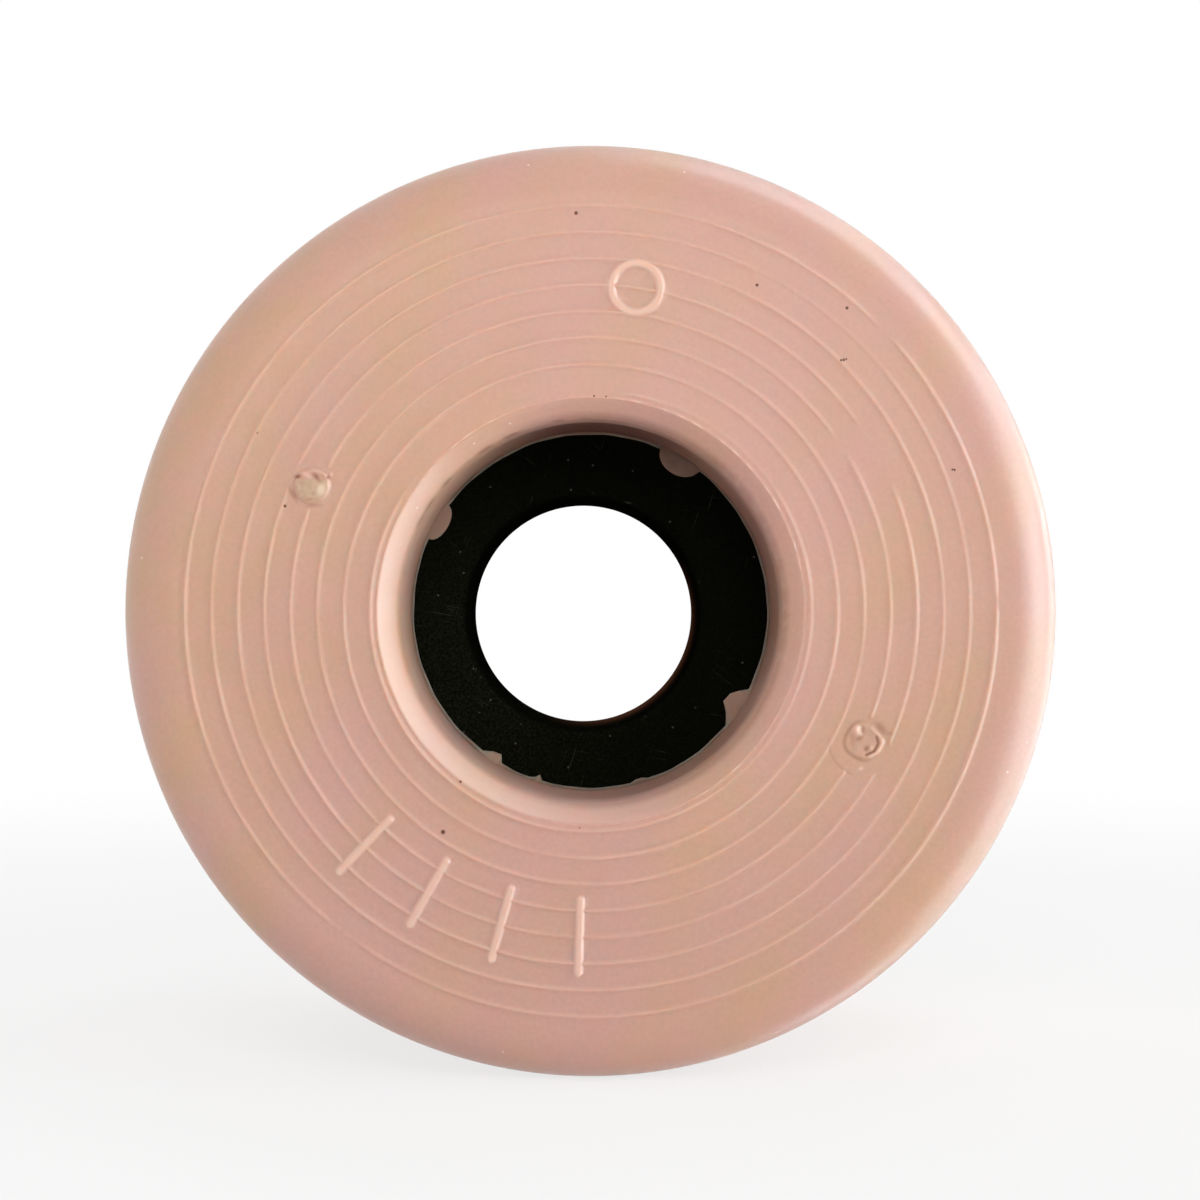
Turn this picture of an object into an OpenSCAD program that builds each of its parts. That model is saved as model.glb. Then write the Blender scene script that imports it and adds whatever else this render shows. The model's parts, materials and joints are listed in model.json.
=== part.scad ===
// Roller skate wheel: a cast urethane tyre bonded round a moulded plastic core.
// Lengths are in millimetres. The wheel turns about Y and its origin is the wheel's centre.
// Each module draws the wheel lying face up, and upright() then turns that face towards -Y.

/* [Tyre] */
// Outside diameter across the tread
wheel_d = 54; // [48:0.5:66]
// Width across the two faces
wheel_w = 32; // [28:0.5:40]
// Radius of the shoulder between the tread and each face
shoulder_r = 3.5; // [1:0.1:6]

/* [Bearing seats] */
// Diameter of the seats, tight on a 22 mm bearing
seat_d = 22; // [19:0.1:22.4]
// Width of the bearing in each seat
bearing_w = 7; // [5:0.5:8]
// Depth of the bearing below the face
bearing_recess = 3; // [2:0.1:4]
// Chamfer at the mouth of each seat
mouth_chamfer = 1.1; // [0.5:0.1:1.5]

/* [Face rings] */
// Gap from the seat's mouth to the innermost ring
ring_gap = 0.4; // [0.2:0.1:2]
// Radial step from ring to ring
ring_pitch = 1.5; // [1:0.1:4]
// Height of each ring above the face
ring_h = 0.1; // [0.05:0.01:0.3]

/* [Core] */
// Outside diameter of the core, inside the tyre
core_d = 32; // [30:0.5:36]
// Diameter of the hole through the core
bore_d = 14.4; // [10:0.1:16]
// Chamfer at each end of that hole
bore_chamfer = 0.3; // [0.1:0.05:0.6]
// Radius of the groove that the tyre fills round the core's rim
groove_r = 1.2; // [0.5:0.1:1.6]
// Distance that the core sits off the wheel's axis, as cast
core_offset = 0.5; // [0:0.05:0.8]
// Direction of that offset, anticlockwise from the right
core_offset_angle = 199; // [0:1:359]

/* [Anchor holes] */
// Number of holes through the core that the tyre fills
anchor_count = 4; // [2:1:8]
// Diameter of each anchor hole
anchor_d = 2.7; // [2:0.1:3.6]
// Diameter of the circle through the hole centres
anchor_circle_d = 22.8; // [22:0.1:25]
// Direction of the first anchor hole from the core's centre
anchor_angle = 57; // [0:1:89]
// Depth of the tyre's surface in each hole below the end of the core
anchor_sink = 0.1; // [0.05:0.05:0.3]

/* [Casting marks] */
// Number of pour and vent stubs on the front face
stub_count = 2; // [1:1:4]
// Diameter of each stub
stub_d = 2.1; // [1:0.1:3]
// Height of the torn stub above the face
stub_h = 0.35; // [0.1:0.05:0.6]
// Diameter of the plain patch round each stub
patch_d = 4; // [3.2:0.1:5]
// Diameter of the circle through the stub centres
stub_circle_d = 34.8; // [32:0.1:36]
// Direction of the first stub
stub_angle = 155; // [0:1:359]
// Number of plain index bars on the front face
bar_count = 4; // [1:1:6]
// Length of each index bar
bar_l = 4.6; // [2:0.1:6]
// Line width of the index bars and the index ring
mark_w = 0.4; // [0.2:0.05:0.8]
// Height of the index bars and the index ring above the face
mark_h = 0.15; // [0.12:0.01:0.3]
// Angle from bar to bar
bar_step = 14; // [8:1:20]
// Direction of the first index bar
bar_angle = 226; // [0:1:359]
// Outside diameter of the index ring
index_ring_d = 3.2; // [1.5:0.1:4]
// Direction of the index ring
index_ring_angle = 82; // [0:1:359]
// Diameter of the circle through the centres of the index marks
mark_circle_d = 37; // [34:0.1:38]

/* [Hidden] */
$fn = 144;
// Overlap of a cut past the surface that it opens
cut = 1;

wheel_r = wheel_d / 2;
face_z = wheel_w / 2;
seat_r = seat_d / 2;
mouth_r = seat_r + mouth_chamfer;
// The bearings stand on the core, so its length is what they leave of the width
floor_z = face_z - bearing_recess - bearing_w;
core_len = 2 * floor_z;
core_r = core_d / 2;
bore_r = bore_d / 2;
// As many rings as fit on the flat of the face
ring_first_r = mouth_r + ring_gap;
ring_last_r = wheel_r - shoulder_r - ring_h;
ring_radii = [for (r = ring_first_r; r <= ring_last_r; r = r + ring_pitch) r];

// Turns a part drawn face up so that its face looks along -Y
module upright() rotate([90, 0, 0]) children();

// Places a child on the front face, its own Y pointing outwards from the axis
module on_face(angle, circle_d) {
  rotate(angle - 90) translate([0, circle_d / 2, face_z]) children();
}

// Moves a child from the wheel's axis to the core's own centre
module at_core() {
  translate(core_offset * [cos(core_offset_angle), sin(core_offset_angle), 0]) children();
}

// Half section of the tyre before its seats are cut: radius along X, the wheel's axis along Y
module tyre_section() {
  difference() {
    translate([0, -face_z]) square([wheel_r, wheel_w]);
    for (side = [0, 1]) mirror([0, side])
      translate([wheel_r - shoulder_r, face_z - shoulder_r]) difference() {
        square(shoulder_r + cut);
        circle(shoulder_r);
      }
  }
  for (side = [0, 1], r = ring_radii) mirror([0, side]) translate([r, face_z]) circle(ring_h);
}

// Space of one bearing seat and its mouth, dished below the core's end so that the anchors end lower
module seat_space() {
  rotate_extrude() polygon([
    [0, floor_z - anchor_sink],
    [seat_r - anchor_sink, floor_z - anchor_sink],
    [seat_r, floor_z],
    [seat_r, face_z - mouth_chamfer],
    [mouth_r + cut, face_z + cut],
    [0, face_z + cut]
  ]);
}

// Pour and vent stubs, left where the casting was torn from its runners
module stubs(d, h) {
  for (i = [0 : stub_count - 1])
    on_face(stub_angle + i * 360 / stub_count, stub_circle_d) cylinder(h = h, d = d);
}

// One index bar with round ends, its length along Y
module index_bar(h) {
  end_y = (bar_l - mark_w) / 2;
  translate([-mark_w / 2, -end_y, 0]) cube([mark_w, 2 * end_y, h]);
  for (y = [-end_y, end_y]) translate([0, y, 0]) cylinder(h = h, d = mark_w);
}

// Plain raised index marks: a row of bars and one ring
module index_marks() {
  for (i = [0 : bar_count - 1])
    on_face(bar_angle + i * bar_step, mark_circle_d)
      translate([0, 0, -cut]) index_bar(cut + mark_h);
  on_face(index_ring_angle, mark_circle_d) translate([0, 0, -cut]) difference() {
    cylinder(h = cut + mark_h, d = index_ring_d);
    cylinder(h = cut + mark_h, d = index_ring_d - 2 * mark_w);
  }
}

// The core before its bore is cut, which is the space that it takes in the tyre
module core_blank() {
  at_core() difference() {
    cylinder(h = core_len, r = core_r, center = true);
    rotate_extrude() translate([core_r, 0]) circle(groove_r);
    for (i = [0 : anchor_count - 1]) rotate(anchor_angle + i * 360 / anchor_count)
      translate([anchor_circle_d / 2, 0, 0]) cylinder(h = core_len + cut, d = anchor_d, center = true);
  }
}

module tyre() color("#d0a794") upright() difference() {
  union() {
    difference() {
      rotate_extrude() tyre_section();
      stubs(patch_d, cut);
    }
    stubs(stub_d, stub_h);
    index_marks();
  }
  core_blank();
  for (side = [0, 1]) mirror([0, 0, side]) seat_space();
}

module core() color("#16160f") upright() difference() {
  core_blank();
  at_core() {
    cylinder(h = core_len + cut, r = bore_r, center = true);
    for (side = [0, 1]) mirror([0, 0, side]) translate([0, 0, floor_z - bore_chamfer])
      cylinder(h = bore_chamfer, r1 = bore_r, r2 = bore_r + bore_chamfer);
  }
}

tyre();
core();
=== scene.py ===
"""A roller skate wheel seen at its front face: a cast urethane tyre bonded on a black moulded core.

Lengths are in millimetres and are turned into metres when a mesh, lamp or camera is made.
The drawing frame has x to the right, y up and z towards the viewer, with the wheel's centre at 0.
Angles are in degrees, anticlockwise from the right as the front face is seen.

A name ending in WANDER or BREAKS holds a curve round the wheel: mean, wander, waves per turn.
One ending in START or END holds the two places between which something begins or ends.
"""

import json
import math

import bmesh
import bpy
import numpy as np
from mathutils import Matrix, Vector


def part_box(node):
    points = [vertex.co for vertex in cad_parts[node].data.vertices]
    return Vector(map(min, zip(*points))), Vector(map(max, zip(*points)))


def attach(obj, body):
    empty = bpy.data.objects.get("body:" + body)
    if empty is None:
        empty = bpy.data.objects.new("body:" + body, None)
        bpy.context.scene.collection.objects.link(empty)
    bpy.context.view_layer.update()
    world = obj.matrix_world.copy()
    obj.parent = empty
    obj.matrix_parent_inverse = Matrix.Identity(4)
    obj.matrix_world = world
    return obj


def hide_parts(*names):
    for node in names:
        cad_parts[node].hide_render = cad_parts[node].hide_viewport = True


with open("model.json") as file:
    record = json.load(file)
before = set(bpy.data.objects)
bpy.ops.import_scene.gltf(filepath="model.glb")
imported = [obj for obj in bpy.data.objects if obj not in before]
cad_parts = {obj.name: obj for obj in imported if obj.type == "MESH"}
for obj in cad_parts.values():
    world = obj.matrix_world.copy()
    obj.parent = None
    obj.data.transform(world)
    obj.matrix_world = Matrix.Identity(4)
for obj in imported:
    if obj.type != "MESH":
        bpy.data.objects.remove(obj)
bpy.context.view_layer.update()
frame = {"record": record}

MM = 0.001

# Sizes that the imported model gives
mounts = {mount["name"]: mount for mount in frame["record"]["mounts"]}
seat = mounts["bearing_seat_front"]
bore = mounts["axle_clearance_bore"]
tyre_low, tyre_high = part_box("tyre")
core_low, core_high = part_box("core")
wheel_r = (tyre_high.x - tyre_low.x) / 2 / MM
core_r = (core_high.x - core_low.x) / 2 / MM
floor_z = core_high.y / MM
seat_r = seat["dims"]["r_mm"]
bore_r = bore["dims"]["r_mm"]
core_x = bore["pos_m"][0] / MM
core_y = bore["pos_m"][2] / MM
lip_z = abs(seat["pos_m"][1]) / MM + seat["dims"]["length_mm"] / 2

# Sizes of the tyre's form
MOUTH_CHAMFER = 1.1
SHOULDER_R = 3.5
# Below 1 makes the shoulder fuller than a round one
SHOULDER_POWER = 0.84
GROOVE_R = 1.2
LIP_ROUND = 0.2
# Depth of the step in the seat's wall, and how far the wall lies back below it
STEP_DEPTH = 3.6
STEP_UNDERCUT = 0.1
# Gap between the skins of the tyre and the core
BOND_GAP = 0.01
face_z = lip_z + MOUTH_CHAMFER
step_z = face_z - STEP_DEPTH
mouth_r = seat_r + MOUTH_CHAMFER
flat_r = wheel_r - SHOULDER_R
tread_half = face_z - SHOULDER_R

# Raised rings of the two faces
RING_COUNT = 8
RING_PITCH = 1.5
RING_GAP = 0.4
RING_H = 0.115
RING_W = 0.12
ring_radii = [mouth_r + RING_GAP + RING_PITCH * n for n in range(RING_COUNT)]
# How the rings of each face wander in height
FRONT_WANDER = (0.82, 0.18, (2, 5, 9, 17))
BACK_WANDER = (0.75, 0.25, (1, 3, 7, 12))
# Unevenness of the faces: height, and lengths of its waves
UNEVEN_H = 0.012
UNEVEN_LENGTHS = (5, 7, 9, 13)

# Shares of the pale tint
RING_PALE = 0.2
MARK_PALE = 0.65
LIP_PALE = 0.7
# The mouth's share is a painted highlight on the front seat's chamfer
MOUTH_HIGHLIGHT = 0.45
# Share of the same tint at the top of the front face, a painted light that makes the top lighter
TOP_LIGHT = 0.14
TOP_LIGHT_START = (-0.6 * wheel_r, wheel_r)
# Shares of the matt finish
RING_MATT = 0.4
TREAD_MATT = 0.5

# Stretches where a ring of the front face is weak: ring, middle angle, half width, share lost
WEAK_RINGS = (
    (0, 52, 20, 0.7),
    (0, 115, 35, 0.8),
    (3, 33.5, 3.5, 1),
    (4, 28.5, 7, 1),
    (6, 52, 13, 0.75),
    (7, 43.5, 2.8, 1),
    (7, 1.5, 1, 0.8),
    (7, 233, 3, 0.9),
)
WEAK_SOFT = 1.5
# Stretches where a ring stands higher: ring, middle angle, half width, share added
BOLD_RINGS = ((7, 0, 55, 0.35), (0, 200, 55, 0.35))
# Share of height that all rings lose on the right
RIGHT_LOSS = 0.22

# Torn casting stubs on the front face, each at an angle and a radius
STUB_R = 1.04
PATCH_R = 2
LEFT_STUB = (155.8, 17.31)
RIGHT_STUB = (334.6, 17.17)
# Lumps and pits of the stubs: across, up, long, short, lean, height, how pale, share of painted shade in
# pits and of painted shadow
LEFT_LUMPS = (
    (-0.3, 0.6, 0.34, 0.14, -38, 0.06, 0.5, 0),
    (0.24, 0.5, 0.3, 0.15, -42, -0.12, 0, 0.7),
    (0.62, 0.52, 0.28, 0.14, -30, -0.06, 0, 0.35),
    (-0.8, 0.52, 0.2, 0.12, 12, -0.1, 0, 1),
    (0.9, 0.48, 0.09, 0.09, 0, -0.1, 0, 0.6),
    (1.06, 0.6, 0.12, 0.08, 60, 0.08, 0.45, 0),
    (-0.15, -0.78, 0.3, 0.07, 4, -0.04, 0, 0.35),
    # A painted shadow below and left of the plug
    (-1.06, -0.5, 0.45, 0.13, -60, -0.06, 0, 0.5),
    (0.1, -1.12, 0.5, 0.1, 5, -0.04, 0, 0.3),
)
RIGHT_LUMPS = (
    (-0.42, 0.6, 0.33, 0.19, 105, 0.17, 0.8, 0),
    # Painted shadows right of and below the bump
    (-0.08, 0.6, 0.24, 0.12, 100, -0.06, 0, 0.45),
    (-0.28, 0.14, 0.24, 0.14, 30, -0.06, 0, 0.45),
    (-0.68, 0.05, 0.5, 0.22, 100, -0.02, 0, 0.3),
    (0.13, -0.44, 0.15, 0.12, 45, -0.14, 0, 0.75),
    (0.38, -0.42, 0.14, 0.09, 60, 0.08, 0.5, 0),
    (0.95, 0.72, 0.5, 0.22, -45, -0.05, 0, 0.5),
    (1.4, 0.42, 0.2, 0.14, -20, -0.02, 0, 0.35),
    (-0.23, -1.58, 0.13, 0.07, 20, 0.07, 0.8, 0),
)
# Ridges and groove of the right stub: corners of the line, half width, height, how pale, share of painted
# shade
RIGHT_LINES = (
    (((0.39, 0.73), (0.8, 0.32), (1, 0.05)), 0.08, 0.06, 0.4, 0),
    (((1, 0.05), (1.04, -0.08), (0.8, -0.56), (0.3, -0.88)), 0.11, 0.12, 0.7, 0),
    (((0.7, 0.22), (0.8, -0.15), (0.56, -0.6), (0.12, -0.8)), 0.07, -0.1, 0, 0.9),
)
# Height of the bumps of the stubs' tops
BUMP_H = 0.02
# Left stub: a plug with a rim
PLUG_H = 0.2
PLUG_RIM_H = 0.05
PLUG_SLOPE = 0.2
PLUG_SPREAD = 0.06
# Lobes of its outline: share of the radius, lobes per turn, start
PLUG_LOBES = (0.015, 3, 40)
PLUG_RIM_IN = 0.08
PLUG_RIM_W = 0.06
PLUG_RIM_PALE = 0.4
# Its torn top, which ends below a flap
TEAR_IN = 0.06
TEAR_END = (0.28, 0.5)
TEAR_REST = 0.55
# The brightest patch of that top: across, up, long, short, lean
TEAR_BRIGHT = (0.55, -0.2, 0.42, 0.3, 70)
# How much of it a pit and a pale lump take away
TEAR_PIT_SHADE = 1.4
TEAR_PALE = 1.2
# Right stub: a low disc
DISC_H = 0.04
DISC_SLOPE = 0.1
# Seams round it and its patch: radius, size of lobes, half width, depth, share of painted shade, stretch of
# the turn
SEAMS = (
    # The first seam is a groove with a painted shadow along the stub's left side
    (1.09, 0.04, 0.1, 0.05, 0.5, (190, 90, 30)),
    (PATCH_R, 0, 0.06, 0.03, 0.25, (215, 34, 18)),
)
# Lobes per turn of the seams, and their start
SEAM_LOBES = (4, 30)
# Ground clear of rings round the two stubs
LEFT_CLEAR_END = (1.2, 1.75)
RIGHT_CLEAR_R = 1.35
RIGHT_CLEAR_SOFT = 0.15

# Plain index marks on the front face
MARK_R = 18.5
MARK_W = 0.44
MARK_H = 0.15
BAR_L = 4.6
BAR_ANGLES = (226, 240, 254, 268)
INDEX_RING_ANGLE = 82
INDEX_RING_R = 1.4

# Broken flash along the edge of the seat's mouth
LIP_H = 0.07
LIP_OUT = 0.04
LIP_W = 0.06
LIP_REST = 0.2
LIP_BREAKS = (0.3, 1, (23, 37, 61, 83))
LIP_PARTS = ((48, 34, 10), (311, 12, 5), (130, 13, 6))

# Film and flash of urethane on the core's end, inside the seat
FILM_W = 0.16
FILM_H = 0.07
TAB_H = 0.12
# Round ends of the anchors: middle angle, half width in degrees, reach
FRONT_TABS = ((59.4, 7.2, 1.02), (149.7, 6.3, 0.68))
# Torn flash as corners of its outline: angle, reach
FRONT_FLASH = (
    ((-40.2, 0), (-36.7, 0.5), (-34.2, 0.98), (-30.5, 0.88), (-28.4, 0.54), (-26.2, 0)),
    ((232.4, 0), (235.2, 0.34), (238.2, 0.46), (239.8, 0)),
    ((249.8, 0), (251.6, 0.1), (252.8, 0.32), (254.2, 0)),
    ((283, 0), (285, 0.13), (287, 0.13), (289, 0)),
)
BACK_TABS = ((31, 6.8, 0.9), (123, 6.6, 0.75), (211, 7, 0.95), (302, 6.4, 0.8))
# Stretches where the film is thick enough to hide the core: middle angle, half width, share hidden
FRONT_THICK = ((149.7, 9, 0.75), (326.8, 8, 0.55), (236, 5, 0.9), (252, 4, 0.6))
BACK_THICK = ((123, 8, 0.6), (302, 8, 0.4))

# Dark specks of dirt on the front face: x, y, radius
DIRT = (
    (-8.36, -12.53, 0.17), (-0.82, 22.56, 0.14), (9.44, 18.48, 0.12), (14.54, 17.18, 0.12),
    (14.2, 14.21, 0.11), (14.36, 14.24, 0.11), (14.5, 14.29, 0.08), (-17.32, 5.95, 0.12),
    (-18.9, 10.1, 0.1), (0.2, 12.19, 0.08), (0.88, 12.16, 0.07), (-7.37, -9.68, 0.1),
    (-0.62, -12.3, 0.06), (20.52, 8.02, 0.08), (20.64, 8.0, 0.09),
)

SEED = 7


def bell(offset, width):
    """1 at no offset, falling smoothly to 0 over about twice the width."""
    return np.exp(-(offset / width) ** 2)


def soft_step(low, high, value):
    """0 below low and 1 above high, with a smooth rise between."""
    share = np.clip((value - low) / (high - low), 0, 1)
    return share * share * (3 - 2 * share)


def turn_between(angle, middle):
    """Size of the turn from one angle to another, 0 to 180 degrees."""
    return np.abs((angle - middle + 180) % 360 - 180)


def stretch(angle, middle, half, soft):
    """1 within half of the middle angle, and 0 beyond, with soft ends."""
    return 1 - soft_step(half - soft, half + soft, turn_between(angle, middle))


def ripple(angle, waves, rng):
    """A smooth seeded curve round the wheel, about -1 to 1, made of the given waves per turn."""
    total = np.zeros_like(angle)
    for wave in waves:
        total += rng.uniform(0.5, 1) * np.sin(np.radians(angle * wave + rng.uniform(0, 360)))
    return total / math.sqrt(len(waves))


def uneven(angle, curve, rng):
    """A value that wanders round the wheel, from its mean, its wander and its waves per turn."""
    mean, wander, waves = curve
    return mean + wander * ripple(angle, waves, rng)


def swell(x, y, lengths, rng):
    """A smooth seeded unevenness over the plane, about -1 to 1, made of waves of the given lengths."""
    total = np.zeros_like(x)
    for length in lengths:
        heading = rng.uniform(0, 2 * math.pi)
        along = x * math.cos(heading) + y * math.sin(heading)
        total += np.sin(2 * math.pi * along / length + rng.uniform(0, 2 * math.pi))
    return total / math.sqrt(len(lengths))


def polar(angle, radius):
    """Point of the face at an angle and a radius."""
    return radius * math.cos(math.radians(angle)), radius * math.sin(math.radians(angle))


def angle_of(x, y):
    """Angle of each point as seen from the centre, 0 to 360 degrees."""
    return np.degrees(np.arctan2(y, x)) % 360


def placed(x, y, z):
    """Points of the drawing frame in the row frame, in metres."""
    return np.column_stack((x, -z, y)) * MM


def arc(middle_r, middle_z, radius, start, end, parts=6):
    """Section points along an arc, from outwards (0 degrees) to the front (90 degrees)."""
    turn = np.radians(np.linspace(start, end, parts + 1))
    return list(zip(middle_r + radius * np.cos(turn), middle_z + radius * np.sin(turn)))


def shifted(radius, z, offsets):
    """Section points at the given offsets outwards and to the front from a place."""
    return [(radius + out, z + forward) for out, forward in offsets]


def turned_faces(rows, columns):
    """Faces between the rows of a closed section that is turned about the axis."""
    row, column = np.divmod(np.arange(rows * columns), columns)
    near = row * columns
    far = (row + 1) % rows * columns
    next_column = (column + 1) % columns
    return np.column_stack((near + column, near + next_column, far + next_column, far + column))


def revolve(section, columns, offset=(0, 0)):
    """Corners and faces of a closed section turned about the axis. A third value in a section's point
    is the share of the offset at which that point turns."""
    rows = np.array([point if len(point) == 3 else (*point, 0) for point in section])
    turn = np.arange(columns) * 2 * math.pi / columns
    radius, z, share = rows.T[:, :, None]
    x = radius * np.cos(turn) + share * offset[0]
    y = radius * np.sin(turn) + share * offset[1]
    depth = z + np.zeros_like(x)
    return x.ravel(), y.ravel(), depth.ravel(), turned_faces(len(rows), columns)


def add_piece(name, corners, faces, material, slot, **shares):
    """Makes a smooth mesh piece that rides on the wheel, with a named value per corner for its material."""
    mesh = bpy.data.meshes.new(name)
    mesh.from_pydata(corners.tolist(), [], [list(map(int, face)) for face in faces])
    shell = bmesh.new()
    shell.from_mesh(mesh)
    bmesh.ops.recalc_face_normals(shell, faces=shell.faces)
    shell.to_mesh(mesh)
    shell.free()
    mesh.polygons.foreach_set("use_smooth", [True] * len(mesh.polygons))
    for share, values in shares.items():
        attribute = mesh.attributes.new(share, "FLOAT", "POINT")
        attribute.data.foreach_set("value", np.asarray(values, np.float32))
    mesh.materials.append(material)
    piece = bpy.data.objects.new(name, mesh)
    bpy.context.scene.collection.objects.link(piece)
    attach(piece, "root")
    return piece


# Form of the front face

def ring_strength(ring, angle, rng):
    """How strongly one ring of the front face stands out round the wheel, about 0 to 1."""
    strength = uneven(angle, FRONT_WANDER, rng)
    for weak_ring, middle, half, lost in WEAK_RINGS:
        if weak_ring == ring:
            strength *= 1 - lost * stretch(angle, middle, half, min(half, WEAK_SOFT))
    strength = np.clip(strength, 0, 1) * (1 - RIGHT_LOSS * stretch(angle, middle=0, half=45, soft=25))
    for bold_ring, middle, half, added in BOLD_RINGS:
        if bold_ring == ring:
            strength *= 1 + added * stretch(angle, middle, half, soft=15)
    return strength


def rings(x, y, rng, strength_of):
    """Share of full height that the face's rings have at each point."""
    radius = np.hypot(x, y)
    angle = angle_of(x, y)
    share = np.zeros_like(x)
    for ring, ring_r in enumerate(ring_radii):
        share = np.maximum(share, strength_of(ring, angle, rng) * bell(radius - ring_r, RING_W))
    return share


def bar_distance(x, y, angle):
    """Distance from the middle line of the index bar that points outwards at that angle."""
    out_x, out_y = polar(angle, 1)
    along = np.abs(x * out_x + y * out_y - MARK_R) - (BAR_L - MARK_W) / 2
    return np.hypot(np.maximum(along, 0), y * out_x - x * out_y)


def index_ring_distance(x, y):
    """Distance from the middle line of the index ring."""
    middle_x, middle_y = polar(INDEX_RING_ANGLE, MARK_R)
    return np.abs(np.hypot(x - middle_x, y - middle_y) - INDEX_RING_R)


def marks(x, y):
    """Share of full height that the index marks have at each point, with round strokes."""
    distance = index_ring_distance(x, y)
    for angle in BAR_ANGLES:
        distance = np.minimum(distance, bar_distance(x, y, angle))
    return 1 - soft_step(0.2 * MARK_W, 0.8 * MARK_W, distance)


def around(x, y, place):
    """Offsets, distance and angle of each point as seen from a place on the face."""
    middle_x, middle_y = polar(*place)
    across = x - middle_x
    up = y - middle_y
    return across, up, np.hypot(across, up), angle_of(across, up)


def blob(across, up, middle_across, middle_up, long, short, lean):
    """A soft oval, 1 at its middle, whose long side leans at that angle."""
    lean_x, lean_y = polar(lean, 1)
    along = (across - middle_across) * lean_x + (up - middle_up) * lean_y
    beside = (up - middle_up) * lean_x - (across - middle_across) * lean_y
    return np.exp(-((along / long) ** 2 + (beside / short) ** 2))


def line_distance(across, up, corners):
    """Distance of each point from a line through the given corners."""
    nearest = np.full_like(across, np.inf)
    for (start_x, start_y), (end_x, end_y) in zip(corners, corners[1:]):
        run_x, run_y = end_x - start_x, end_y - start_y
        share = ((across - start_x) * run_x + (up - start_y) * run_y) / (run_x ** 2 + run_y ** 2)
        share = np.clip(share, 0, 1)
        away = np.hypot(across - start_x - share * run_x, up - start_y - share * run_y)
        nearest = np.minimum(nearest, away)
    return nearest


def torn_details(across, up, lumps, lines=()):
    """Height of a stub's lumps, pits and lines, how pale they show, and their painted shade and painted
    shadows.
    """
    shares = [(blob(across, up, *lump[:5]), lump[5:]) for lump in lumps]
    shares += [(bell(line_distance(across, up, line[0]), line[1]), line[2:]) for line in lines]
    height = sum(share * look[0] for share, look in shares)
    pale = np.maximum.reduce([share * look[1] for share, look in shares])
    sunk = np.maximum.reduce([share * look[2] for share, look in shares])
    return height, pale, sunk


def lobes(angle, size, count, start):
    """A wave that makes that many lobes per turn round a stub."""
    return size * np.sin(np.radians(count * angle + start))


def bumps(along, beside):
    """Height of the small bumps of a stub's top."""
    return BUMP_H * np.sin(7 * along + 1) * np.sin(6 * beside + 2)


def left_stub(x, y):
    """The torn plug at the left: its height, how torn its top is, how pale, and its painted shade in pits
    and as shadows.
    """
    across, up, distance, angle = around(x, y, LEFT_STUB)
    edge = STUB_R * (1 + lobes(angle, *PLUG_LOBES))
    plug = 1 - soft_step(edge - PLUG_SLOPE, edge + PLUG_SPREAD, distance)
    rim = bell(distance - edge + PLUG_RIM_IN, PLUG_RIM_W) * stretch(angle, middle=195, half=55, soft=25)
    height, pale, sunk = torn_details(across, up, LEFT_LUMPS)
    height = height + plug * (PLUG_H + bumps(across, up)) + PLUG_RIM_H * rim
    top = 1 - soft_step(edge - PLUG_SLOPE, edge - TEAR_IN, distance)
    below_flap = 1 - soft_step(*TEAR_END, up)
    bright = TEAR_REST + (1 - TEAR_REST) * blob(across, up, *TEAR_BRIGHT)
    lost = np.clip(TEAR_PIT_SHADE * sunk + TEAR_PALE * pale, 0, 1)
    torn = top * below_flap * bright * (1 - lost)
    return height, torn, np.maximum(pale, PLUG_RIM_PALE * rim), sunk


def right_stub(x, y):
    """The torn ring at the right on its plain patch: its height, how pale, and its painted shade in grooves
    and as shadows.
    """
    across, up, distance, angle = around(x, y, RIGHT_STUB)
    disc = 1 - soft_step(STUB_R - DISC_SLOPE, STUB_R, distance)
    height, pale, sunk = torn_details(across, up, RIGHT_LUMPS, RIGHT_LINES)
    height += disc * (DISC_H + bumps(up, across))
    for seam_r, lobe, half, depth, seam_shade, part in SEAMS:
        seam = bell(distance - seam_r - lobes(angle, lobe, *SEAM_LOBES), half) * stretch(angle, *part)
        height -= depth * seam
        sunk = np.maximum(sunk, seam_shade * seam)
    return height, pale, sunk


def stub_clear(x, y):
    """1 where the rings run undisturbed, falling to 0 on the stubs' plain patches."""
    left = soft_step(*LEFT_CLEAR_END, around(x, y, LEFT_STUB)[2])
    distance, angle = around(x, y, RIGHT_STUB)[2:]
    full = stretch(angle, middle=262, half=75, soft=30)
    clear_r = RIGHT_CLEAR_R + (PATCH_R - RIGHT_CLEAR_R) * full
    return left * soft_step(clear_r - RIGHT_CLEAR_SOFT, clear_r + RIGHT_CLEAR_SOFT, distance)


def ragged_lip(x, y, rng):
    """Share of the broken flash line along the edge of the seat's mouth."""
    angle = angle_of(x, y)
    broken = np.clip(uneven(angle, LIP_BREAKS, rng), 0, 1)
    torn_share = np.maximum.reduce([stretch(angle, *part) for part in LIP_PARTS])
    strongest = LIP_REST + (1 - LIP_REST) * torn_share
    return bell(np.hypot(x, y) - mouth_r - LIP_OUT, LIP_W) * broken * strongest


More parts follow.
